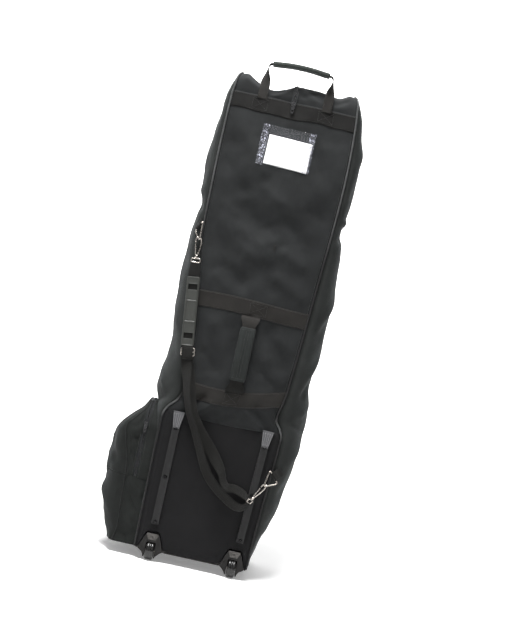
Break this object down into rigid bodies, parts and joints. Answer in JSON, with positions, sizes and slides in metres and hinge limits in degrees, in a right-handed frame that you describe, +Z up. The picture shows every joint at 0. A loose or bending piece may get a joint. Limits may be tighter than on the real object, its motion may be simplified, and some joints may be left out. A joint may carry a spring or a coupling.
{
  "type": "golf travel case",
  "caption": "Soft wheeled golf travel case: tall padded bag with stiff lower back, skid rails, wheels, side shoe pocket, top and carry handles, name window and shoulder strap.",
  "frame": {"origin": "centre of the case's footprint box on the floor, measured without the shoulder strap", "axes": "+Z up along the case, the back with its wheels and skid rails faces -Y, the shoe pocket is on -X"},
  "size_m": [0.4858, 0.3513, 1.35],
  "materials": {
    "shell_fabric": "coarse woven polyester, matt, near black",
    "board_fabric": "woven polyester stretched over a board",
    "webbing": "flat woven polypropylene webbing, brownish black",
    "piping": "coated cord edging, satin",
    "moulded_plastic": "moulded polypropylene, satin, scuffed",
    "zip_plastic": "nylon coil on woven tape",
    "rubber": "hard rubber, worn",
    "foam": "quilted lining over foam",
    "grip_wrap": "padded wrap, grey-green black",
    "pad_rubber": "moulded soft rubber, grey-green black",
    "nickel": "nickel plated steel",
    "dark_steel": "black nickel plated",
    "clear_vinyl": "clear flexible vinyl",
    "paper_card": "plain white card"
  },
  "bodies": {
    "root": {"left_side_gusset": "shell_fabric", "right_side_gusset": "shell_fabric", "upper_back_panel": "shell_fabric", "lower_back_board": "board_fabric", "hood_top_left": "shell_fabric", "hood_top_right": "shell_fabric", "left_piping": "piping", "right_piping": "piping", "base_tray": "moulded_plastic", "front_feet": "rubber", "hood_foam": "foam", "inner_strap_upper": "webbing", "inner_strap_lower": "webbing", "top_band": "webbing", "upper_band": "webbing", "lower_band": "webbing", "hood_zip": "zip_plastic", "left_skid_rail": "moulded_plastic", "left_rail_screws": "dark_steel", "right_skid_rail": "moulded_plastic", "right_rail_screws": "dark_steel", "left_wheel_housing": "moulded_plastic", "left_housing_plate": "nickel", "left_axle": "nickel", "right_wheel_housing": "moulded_plastic", "right_housing_plate": "nickel", "right_axle": "nickel", "id_card": "paper_card", "id_window": "clear_vinyl", "left_strap_tab": "webbing", "right_strap_tab": "webbing", "left_hook_eye": "nickel", "right_hook_eye": "nickel", "strap_main_run": "webbing", "strap_return_run": "webbing", "pocket_tub": "shell_fabric", "pocket_rim": "shell_fabric"},
    "left_wheel": {"left_wheel": "rubber"},
    "right_wheel": {"right_wheel": "rubber"},
    "top_handle": {"top_handle_webbing": "webbing", "top_handle_grip": "grip_wrap"},
    "carry_handle": {"carry_handle_webbing": "webbing", "carry_handle_grip": "grip_wrap"},
    "left_flap": {"left_front_flap": "shell_fabric", "left_front_zip": "zip_plastic"},
    "right_flap": {"right_front_flap": "shell_fabric", "right_front_zip": "zip_plastic"},
    "pocket_door": {"pocket_door": "shell_fabric"},
    "main_slider": {"main_zip_slider": "dark_steel"},
    "main_pull": {"main_zip_pull": "dark_steel"},
    "pocket_slider": {"pocket_zip_slider": "dark_steel"},
    "pocket_pull": {"pocket_zip_pull": "dark_steel"},
    "left_ring": {"left_strap_ring": "nickel"},
    "right_ring": {"right_strap_ring": "nickel"},
    "left_hook": {"left_hook_body": "nickel"},
    "right_hook": {"right_hook_body": "nickel"},
    "left_gate": {"left_hook_gate": "nickel"},
    "right_gate": {"right_hook_gate": "nickel"},
    "pad": {"shoulder_pad": "pad_rubber"},
    "glide": {"tri_glide": "nickel"}
  },
  "joints": [
    {"name": "left_wheel_spin", "type": "hinge", "parent": "root", "child": "left_wheel", "pos_m": [-0.0855, -0.126, 0.025], "axis": [1, 0, 0], "continuous": true},
    {"name": "right_wheel_spin", "type": "hinge", "parent": "root", "child": "right_wheel", "pos_m": [0.1335, -0.126, 0.025], "axis": [1, 0, 0], "continuous": true},
    {"name": "top_handle_swing", "type": "hinge", "parent": "root", "child": "top_handle", "pos_m": [0.0325, -0.142, 1.256], "axis": [1, 0, 0], "range_deg": [-30, 155]},
    {"name": "carry_handle_swing", "type": "hinge", "parent": "root", "child": "carry_handle", "pos_m": [0.0421, -0.159, 0.58], "axis": [0, 0, 1], "range_deg": [-28, 28]},
    {"name": "left_flap_open", "type": "hinge", "parent": "root", "child": "left_flap", "pos_m": [-0.1265, 0.166, 0.643], "axis": [0, 0, 1], "range_deg": [0, 120]},
    {"name": "right_flap_open", "type": "hinge", "parent": "root", "child": "right_flap", "pos_m": [0.1855, 0.166, 0.643], "axis": [0, 0, -1], "range_deg": [0, 120]},
    {"name": "pocket_door_open", "type": "hinge", "parent": "root", "child": "pocket_door", "pos_m": [-0.2455, -0.002, 0.203], "axis": [0, -1, 0], "range_deg": [0, 75]},
    {"name": "main_zip_slide", "type": "slide", "parent": "root", "child": "main_slider", "axis": [0, 0, 1], "range_m": [0, 0.012]},
    {"name": "main_pull_swing", "type": "hinge", "parent": "main_slider", "child": "main_pull", "pos_m": [0.0305, -0.1474, 1.24745], "axis": [-1, 0, 0], "range_deg": [0, 150]},
    {"name": "pocket_zip_slide", "type": "slide", "parent": "root", "child": "pocket_slider", "axis": [0, 0, 1], "range_m": [-0.13, 0.018]},
    {"name": "pocket_pull_swing", "type": "hinge", "parent": "pocket_slider", "child": "pocket_pull", "pos_m": [-0.1665, -0.1274, 0.34745], "axis": [-1, 0, 0], "range_deg": [0, 150]},
    {"name": "left_ring_swing", "type": "hinge", "parent": "root", "child": "left_ring", "pos_m": [-0.1425, -0.1305, 0.884], "axis": [-0.3685, 0.6219, -0.691], "range_deg": [-4, 4]},
    {"name": "right_ring_swing", "type": "hinge", "parent": "root", "child": "right_ring", "pos_m": [0.1908, -0.1465, 0.28525], "axis": [0.6473, 0.1654, -0.7441], "range_deg": [-1, 4]},
    {"name": "left_hook_swivel", "type": "hinge", "parent": "root", "child": "left_hook", "pos_m": [-0.13098, -0.14511, 0.79365], "axis": [-0.0644, 0.0097, 0.9979], "range_deg": [-8, 8]},
    {"name": "right_hook_swivel", "type": "hinge", "parent": "root", "child": "right_hook", "pos_m": [0.14227, -0.1549, 0.21069], "axis": [0.5258, -0.0155, 0.8505], "range_deg": [-8, 8]},
    {"name": "left_gate_open", "type": "hinge", "parent": "left_hook", "child": "left_gate", "pos_m": [-0.13503, -0.14677, 0.80803], "axis": [-0.4984, 0.866, -0.0405], "range_deg": [0, 18], "stiffness_Nm_per_rad": 0.004, "springref_deg": -8.59},
    {"name": "right_gate_open", "type": "hinge", "parent": "right_hook", "child": "right_gate", "pos_m": [0.14844, -0.15201, 0.2241], "axis": [0.7407, 0.4999, -0.4488], "range_deg": [0, 18], "stiffness_Nm_per_rad": 0.004, "springref_deg": -8.59},
    {"name": "pad_slide", "type": "slide", "parent": "root", "child": "pad", "axis": [-0.1217, 0, 0.9926], "range_m": [0, 0.02]},
    {"name": "tri_glide_slide", "type": "slide", "parent": "root", "child": "glide", "axis": [-0.1395, 0, 0.9902], "range_m": [-0.006, 0]}
  ]
}
